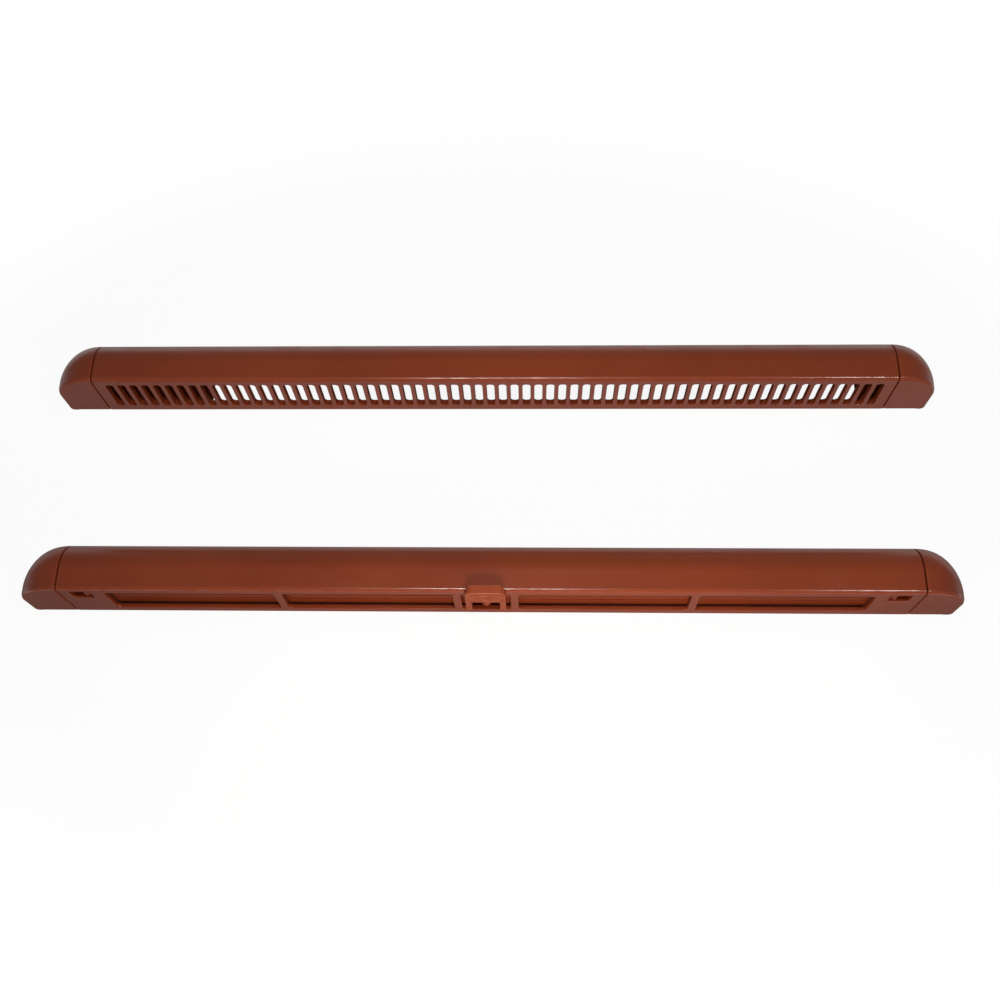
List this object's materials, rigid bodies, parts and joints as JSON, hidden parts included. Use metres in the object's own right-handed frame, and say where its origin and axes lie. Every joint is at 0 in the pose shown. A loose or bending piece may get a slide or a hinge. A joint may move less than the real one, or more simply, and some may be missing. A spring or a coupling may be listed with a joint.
{
  "type": "window trickle vent",
  "caption": "Window trickle vent set: slotted outer canopy and inner vent with a hinged shutter worked by a thumb catch, both with domed end caps.",
  "frame": {"origin": "middle of the laid-out set, on the plane of the mounting faces", "axes": "+X along the vents, +Y up on the window, +Z away from the window"},
  "size_m": [0.4, 0.1302, 0.0264],
  "materials": {
    "brown_plastic": "satin",
    "catch_plastic": "satin",
    "seal_rubber": "matte",
    "pin_steel": "brushed"
  },
  "bodies": {
    "frame_side": {"canopy_shell": "brown_plastic", "canopy_end_cap_left": "brown_plastic", "canopy_end_cap_right": "brown_plastic", "vent_housing": "brown_plastic", "vent_end_cap_left": "brown_plastic", "vent_end_cap_right": "brown_plastic"},
    "shutter": {"shutter_flap": "brown_plastic", "hinge_pin_left": "pin_steel", "hinge_pin_right": "pin_steel", "seal_left_outer": "seal_rubber", "seal_left_inner": "seal_rubber", "seal_right_inner": "seal_rubber", "seal_right_outer": "seal_rubber", "thumb_catch": "catch_plastic", "catch_rivet": "catch_plastic"}
  },
  "joints": [
    {"name": "shutter_hinge", "type": "hinge", "parent": "frame_side", "child": "shutter", "pos_m": [0, -0.05867, 0.02], "axis": [1, 0, 0], "range_deg": [0, 35]}
  ]
}
